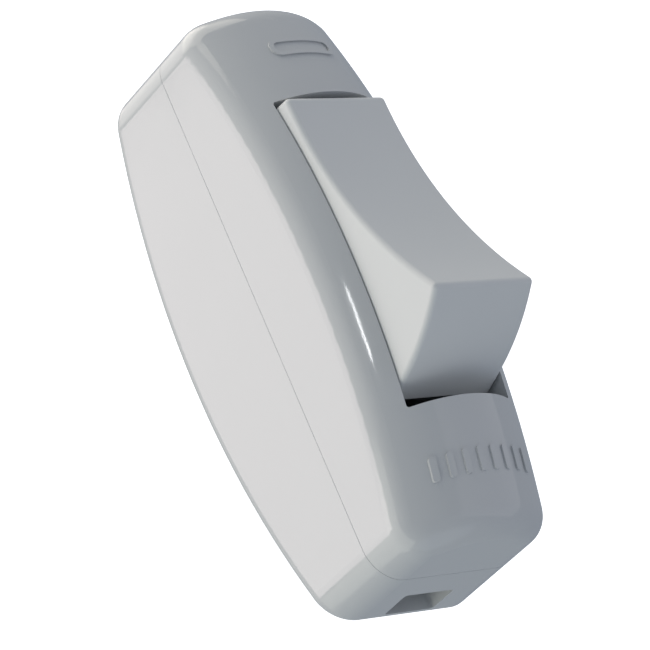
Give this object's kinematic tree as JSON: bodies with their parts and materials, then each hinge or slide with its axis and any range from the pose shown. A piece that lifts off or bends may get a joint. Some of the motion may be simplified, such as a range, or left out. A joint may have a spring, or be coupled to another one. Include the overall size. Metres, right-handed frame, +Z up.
{
  "type": "in-line cord rocker switch",
  "caption": "Two-half moulded in-line cord switch with a concave rocker, sprung plunger, see-saw contact, screw terminals and a cord clamp at each end.",
  "frame": {"origin": "middle of the case in plan, at the lowest point of its underside", "axes": "+X along the case towards the raised end of the rocker, +Y across it along the rocker's pivot, +Z up through the rocker"},
  "size_m": [0.066, 0.0206, 0.0372],
  "materials": {
    "case_moulding": "glossy light grey injection moulding",
    "rocker_moulding": "fine matt light grey injection moulding",
    "natural_nylon": "natural nylon",
    "spring_steel": "drawn wire",
    "brass_strip": "stamped brass strip",
    "silver_contact": "silver-faced rivet",
    "plated_steel": "zinc plated",
    "clamp_moulding": "moulded nylon"
  },
  "bodies": {
    "case": {"cover": "case_moulding", "base": "case_moulding", "fixed_contact": "silver_contact", "line_terminal": "brass_strip", "load_terminal": "brass_strip", "neutral_link": "brass_strip", "line_clamp_plate": "plated_steel", "load_clamp_plate": "plated_steel", "neutral_in_clamp_plate": "plated_steel", "neutral_out_clamp_plate": "plated_steel", "terminal_screws": "plated_steel", "cord_clamp_in": "clamp_moulding", "cord_clamp_out": "clamp_moulding", "cord_clamp_screws": "plated_steel", "case_screws": "plated_steel"},
    "rocker": {"rocker": "rocker_moulding", "plunger_spring": "spring_steel"},
    "plunger": {"plunger": "natural_nylon"},
    "see_saw": {"contact_rocker": "brass_strip", "moving_contact": "silver_contact"}
  },
  "joints": [
    {"name": "rocker_pivot", "type": "hinge", "parent": "case", "child": "rocker", "pos_m": [0, 0, 0.0207], "axis": [0, 1, 0], "range_deg": [0, 33.8]},
    {"name": "see_saw_tilt", "type": "hinge", "parent": "case", "child": "see_saw", "pos_m": [0, 0, 0.00948], "axis": [0, 1, 0], "range_deg": [-14, 0]},
    {"name": "plunger_slide", "type": "slide", "parent": "rocker", "child": "plunger", "axis": [0.2907, 0, -0.9568], "range_m": [-0.0004, 0.00045], "stiffness_N_per_m": 1200, "deforming": ["plunger_spring"]}
  ],
  "couplings": [
    {"joint": "see_saw_tilt", "follows": "rocker_pivot", "ratio": -0.4142}
  ]
}
